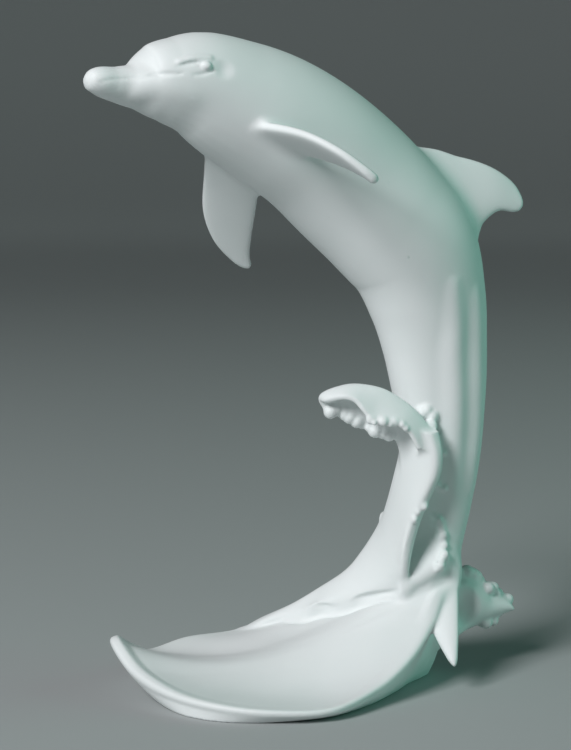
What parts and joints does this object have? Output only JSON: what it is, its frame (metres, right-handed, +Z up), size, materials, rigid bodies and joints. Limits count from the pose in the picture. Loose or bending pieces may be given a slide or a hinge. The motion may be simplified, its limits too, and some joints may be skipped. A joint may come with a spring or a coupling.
{
  "type": "dolphin figurine",
  "caption": "White biscuit porcelain figurine of a dolphin leaping from a breaking wave, cast in one piece and standing on the wave's flat-footed base.",
  "frame": {"origin": "on the ground, under the middle of the figure's bounding box", "axes": "+Z up; the dolphin leaps towards -X, with its left flank and the open trough of the wave towards -Y"},
  "size_m": [0.1438, 0.09, 0.2171],
  "materials": {
    "biscuit_porcelain": "unglazed biscuit porcelain, cool white, matte"
  },
  "bodies": {
    "root": {"dolphin_on_wave": "biscuit_porcelain"}
  },
  "joints": []
}
